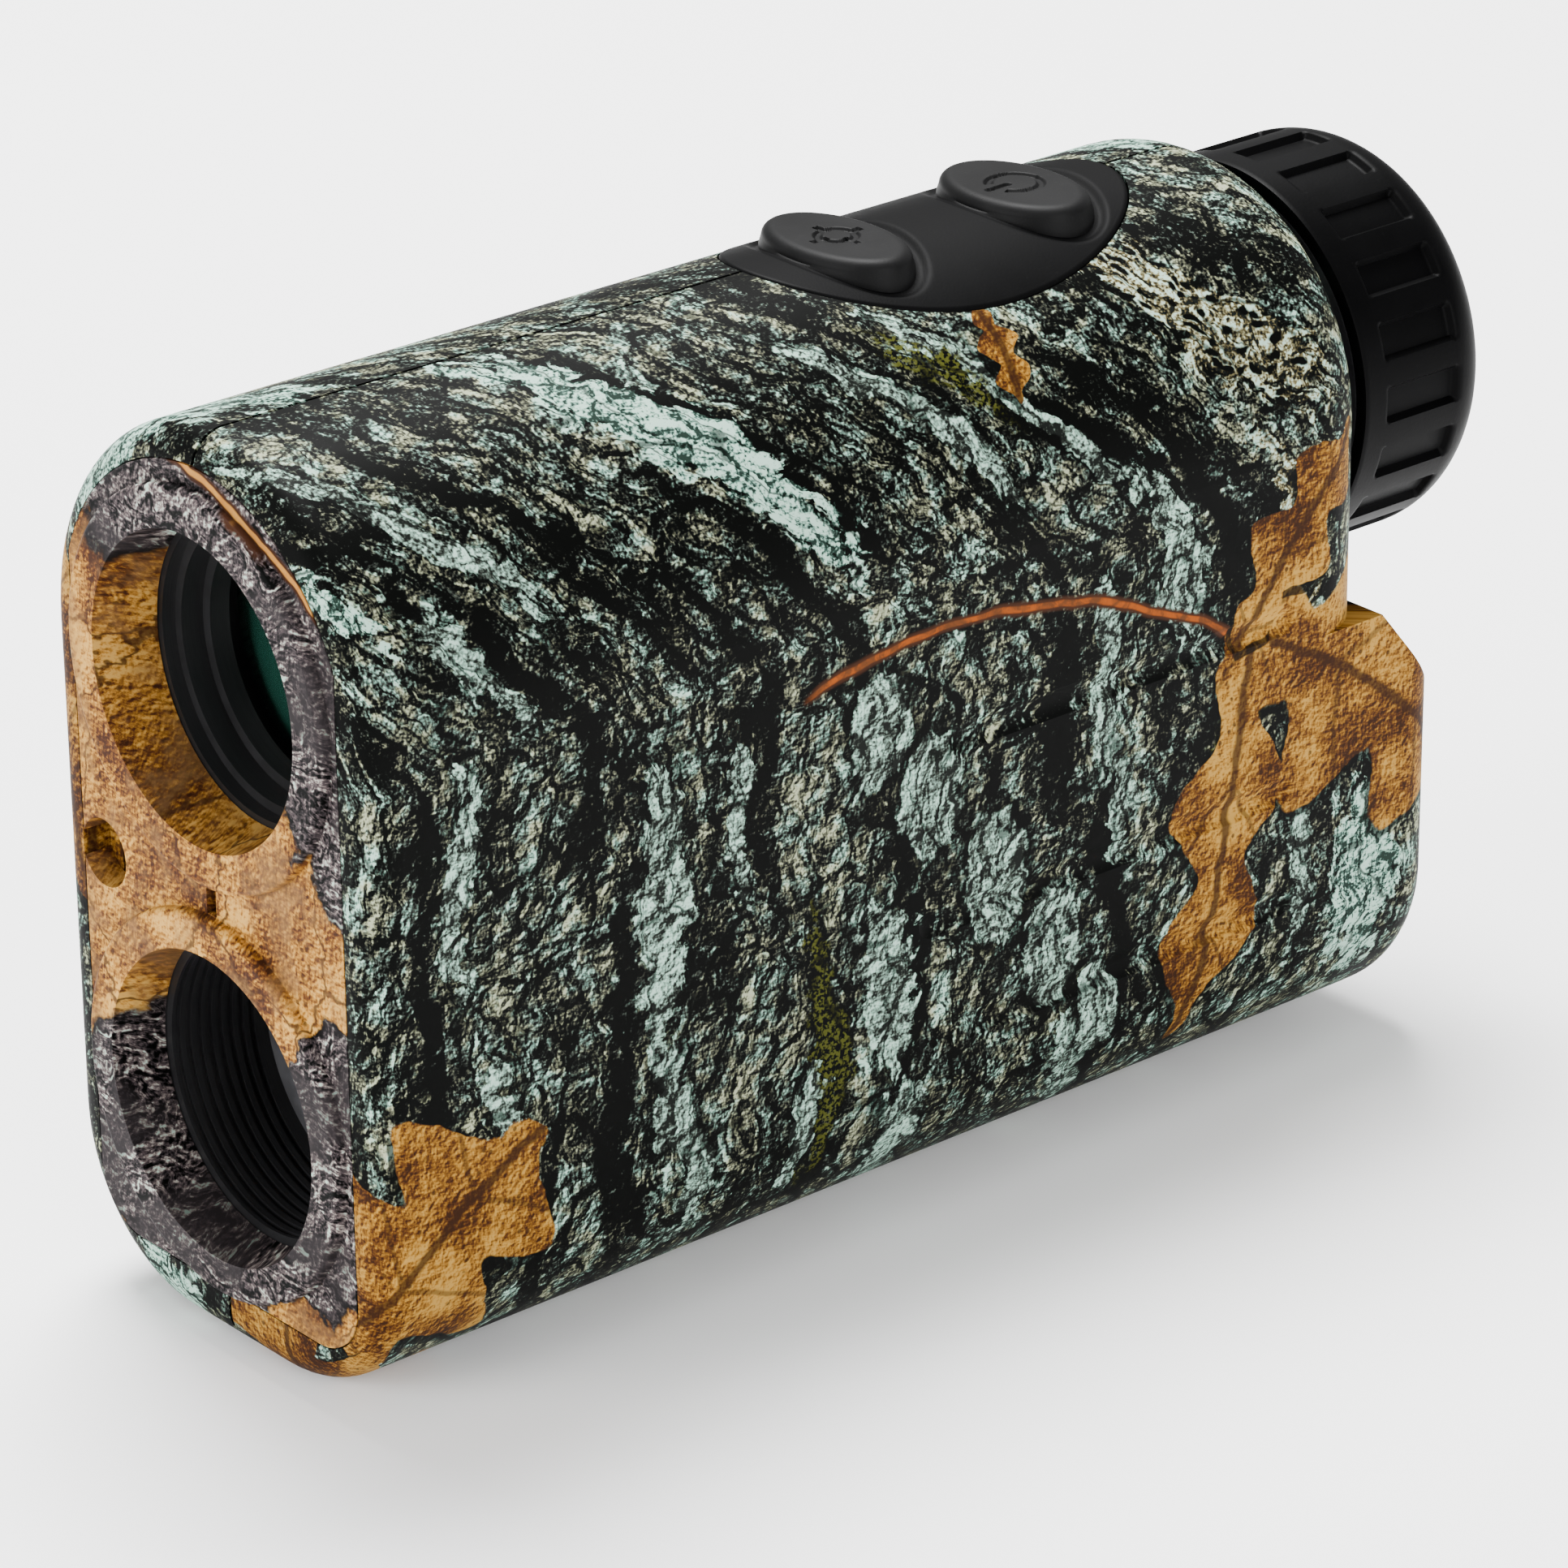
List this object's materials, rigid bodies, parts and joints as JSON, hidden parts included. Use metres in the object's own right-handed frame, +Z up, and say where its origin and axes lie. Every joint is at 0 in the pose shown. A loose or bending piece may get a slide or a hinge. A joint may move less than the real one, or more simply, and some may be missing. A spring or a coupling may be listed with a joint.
{
  "type": "laser rangefinder",
  "caption": "Pocket laser rangefinder monocular: view lens over receiver lens, top keys, turning eyepiece, battery door.",
  "frame": {"origin": "middle of the footprint on the plane the rangefinder rests on", "axes": "+Y from the lenses to the eyepiece, +Z up through the keys, +X the user's right"},
  "size_m": [0.04, 0.12, 0.0757],
  "materials": {
    "camo_shell": "matt printed camouflage, bark and leaf pattern",
    "camo_panel": "matt printed camouflage, leaf pattern",
    "key_rubber": "fine matt soft-touch",
    "ring_rubber": "matt moulded",
    "dark_liner": "matt",
    "black_plastic": "matt",
    "steel": "satin",
    "circuit_board": "solder mask",
    "chip_black": "matt moulded",
    "switch_metal": "satin",
    "black_metal": "black anodised",
    "grey_metal": "dark grey anodised",
    "coated_glass": "green anti-reflection coating",
    "dark_glass": "dark band-pass coating",
    "clear_glass": "polished",
    "brass_module": "satin",
    "flex_cable": "polyimide film",
    "seal_rubber": "matt",
    "battery_wrap": "printed sleeve, no marks"
  },
  "bodies": {
    "housing": {"left_shell": "camo_shell", "right_shell": "camo_shell", "front_fascia": "camo_panel", "strap_bar": "camo_shell", "strap_pocket": "dark_liner", "case_screws": "steel", "button_pad": "key_rubber", "key_board": "circuit_board", "key_switches": "switch_metal", "objective_ring": "black_metal", "objective_barrel": "black_metal", "objective_lens": "coated_glass", "receiver_ring": "grey_metal", "receiver_barrel": "black_metal", "receiver_lens": "dark_glass", "detector_module": "brass_module", "laser_module": "brass_module", "prism_holder": "black_plastic", "front_prism": "clear_glass", "rear_prism": "clear_glass", "display_glass": "clear_glass", "main_board": "circuit_board", "board_chips": "chip_black", "board_screws": "steel", "ribbon_cable": "flex_cable", "eyepiece_barrel": "black_metal", "field_lens": "clear_glass", "eyepiece_o_ring": "seal_rubber", "battery_tray": "black_plastic", "battery_spring": "steel", "battery": "battery_wrap", "door_seal": "seal_rubber", "door_hinge_pin": "steel"},
    "mode_key": {"mode_button": "key_rubber"},
    "power_key": {"power_button": "key_rubber"},
    "diopter": {"diopter_ring": "black_metal", "eyecup": "ring_rubber"},
    "eye_optics": {"eye_cell": "black_metal", "eye_lens": "clear_glass", "eye_lens_ring": "black_metal"},
    "door": {"battery_door": "camo_shell", "door_contact": "brass_module"}
  },
  "joints": [
    {"name": "mode_press", "type": "slide", "parent": "housing", "child": "mode_key", "axis": [0, 0, -1], "range_m": [0, 0.0007], "stiffness_N_per_m": 900, "springref_m": -0.0008},
    {"name": "power_press", "type": "slide", "parent": "housing", "child": "power_key", "axis": [0, 0, -1], "range_m": [0, 0.0007], "stiffness_N_per_m": 900, "springref_m": -0.0008},
    {"name": "diopter_turn", "type": "hinge", "parent": "housing", "child": "diopter", "pos_m": [0, 0.05, 0.055], "axis": [0, 1, 0], "range_deg": [-60, 60]},
    {"name": "eye_lens_slide", "type": "slide", "parent": "housing", "child": "eye_optics", "axis": [0, 1, 0], "range_m": [-0.0013, 0.0013]},
    {"name": "door_swing", "type": "hinge", "parent": "housing", "child": "door", "pos_m": [-0.0141, 0.0516, 0.017], "axis": [0, 0, 1], "range_deg": [0, 110]}
  ],
  "couplings": [
    {"joint": "eye_lens_slide", "follows": "diopter_turn", "m_per_rad": 0.0011459}
  ]
}
